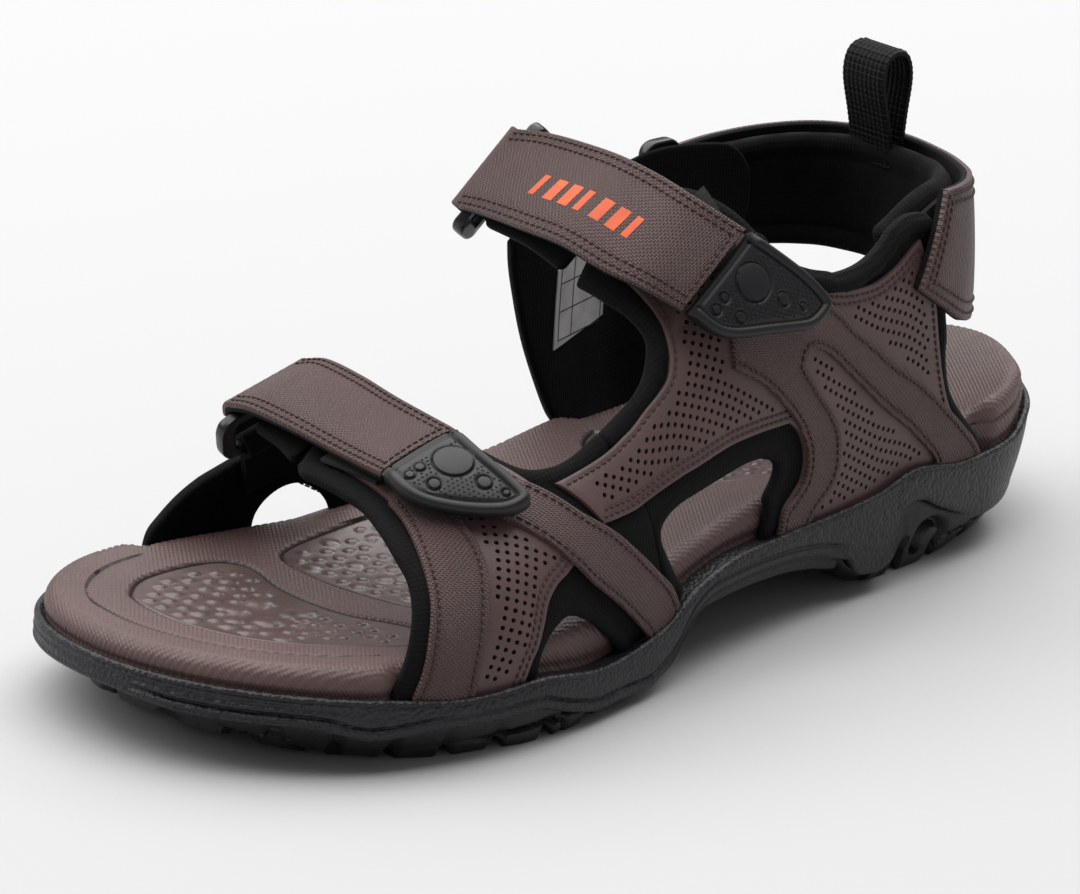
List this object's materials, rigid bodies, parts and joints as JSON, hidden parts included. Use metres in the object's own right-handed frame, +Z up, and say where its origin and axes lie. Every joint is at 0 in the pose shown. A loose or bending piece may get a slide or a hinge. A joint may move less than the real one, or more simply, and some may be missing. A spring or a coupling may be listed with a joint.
{
  "type": "sport sandal",
  "caption": "Strappy sport sandal for the left foot, with three hook-and-loop straps through rings, a padded heel collar and a lugged sole.",
  "frame": {"origin": "middle of the footprint, on the ground", "axes": "+Z up, toe towards -Y, heel towards +Y, outer side towards +X"},
  "size_m": [0.1153, 0.29, 0.116],
  "materials": {
    "tread_rubber": "moulded rubber, matte",
    "midsole_foam": "pebbled moulded foam, dark charcoal",
    "footbed_foam": "moulded foam, brown, fine embossed knit",
    "tab_rubber": "moulded rubber, fine diamond emboss",
    "ring_plastic": "satin black plastic",
    "brown_leather": "embossed synthetic leather, brown",
    "perforated_leather": "perforated synthetic leather, brown",
    "hook_and_loop": "hook and loop tape",
    "label": "blank woven label",
    "webbing": "ribbed polyester webbing",
    "neoprene": "knit-faced neoprene"
  },
  "bodies": {
    "root": {"ankle_loop_patch": "hook_and_loop", "ankle_ring_keeper": "webbing", "ankle_strap_base": "neoprene", "diagonal_overlay": "brown_leather", "footbed": "footbed_foam", "front_loop_patch": "hook_and_loop", "front_ring_keeper": "webbing", "front_strap_base": "neoprene", "heel_collar": "neoprene", "heel_loop_wing": "hook_and_loop", "heel_ring_keeper": "webbing", "inner_quarter_lining": "neoprene", "inner_quarter_overlay": "brown_leather", "inner_quarter_panel": "perforated_leather", "inner_vamp_lining": "neoprene", "inner_vamp_overlay": "brown_leather", "midsole": "midsole_foam", "outsole_forefoot": "tread_rubber", "outsole_heel": "tread_rubber", "pull_tab": "webbing", "quarter_lining": "neoprene", "quarter_overlay": "brown_leather", "quarter_panel": "perforated_leather", "size_label": "label", "vamp_lining": "neoprene", "vamp_overlay": "brown_leather", "vamp_panel": "perforated_leather"},
    "front_ring": {"front_ring": "ring_plastic"},
    "front_strap": {"front_strap": "brown_leather", "front_strap_lining": "neoprene", "front_strap_tab": "tab_rubber", "front_hook_patch": "hook_and_loop"},
    "ankle_ring": {"ankle_ring": "ring_plastic"},
    "ankle_strap": {"ankle_strap": "brown_leather", "ankle_strap_lining": "neoprene", "ankle_strap_tab": "tab_rubber", "ankle_hook_patch": "hook_and_loop"},
    "heel_ring": {"heel_ring": "ring_plastic"},
    "heel_strap": {"heel_strap": "brown_leather", "heel_strap_lining": "neoprene", "heel_hook_patch": "hook_and_loop"}
  },
  "joints": [
    {"name": "front_ring_hinge", "type": "hinge", "parent": "root", "child": "front_ring", "pos_m": [-0.04006, -0.06108, 0.04848], "axis": [-0.1499, -0.9422, -0.2998], "range_deg": [0, 25]},
    {"name": "front_strap_hinge", "type": "hinge", "parent": "front_ring", "child": "front_strap", "pos_m": [-0.03769, -0.06424, 0.05723], "axis": [-0.1499, -0.9422, -0.2998], "range_deg": [0, 110]},
    {"name": "ankle_ring_hinge", "type": "hinge", "parent": "root", "child": "ankle_ring", "pos_m": [-0.03438, 0.00817, 0.09535], "axis": [-0.2337, -0.6162, -0.7521], "range_deg": [0, 25]},
    {"name": "ankle_strap_hinge", "type": "hinge", "parent": "ankle_ring", "child": "ankle_strap", "pos_m": [-0.03034, 0.00086, 0.10008], "axis": [-0.2337, -0.6162, -0.7521], "range_deg": [0, 110]},
    {"name": "heel_ring_hinge", "type": "hinge", "parent": "root", "child": "heel_ring", "pos_m": [-0.04071, 0.06315, 0.07692], "axis": [0.0208, 0, 0.9998], "range_deg": [0, 20]},
    {"name": "heel_strap_hinge", "type": "hinge", "parent": "heel_ring", "child": "heel_strap", "pos_m": [-0.03995, 0.07272, 0.0769], "axis": [0.0208, 0, 0.9998], "range_deg": [0, 70]}
  ]
}
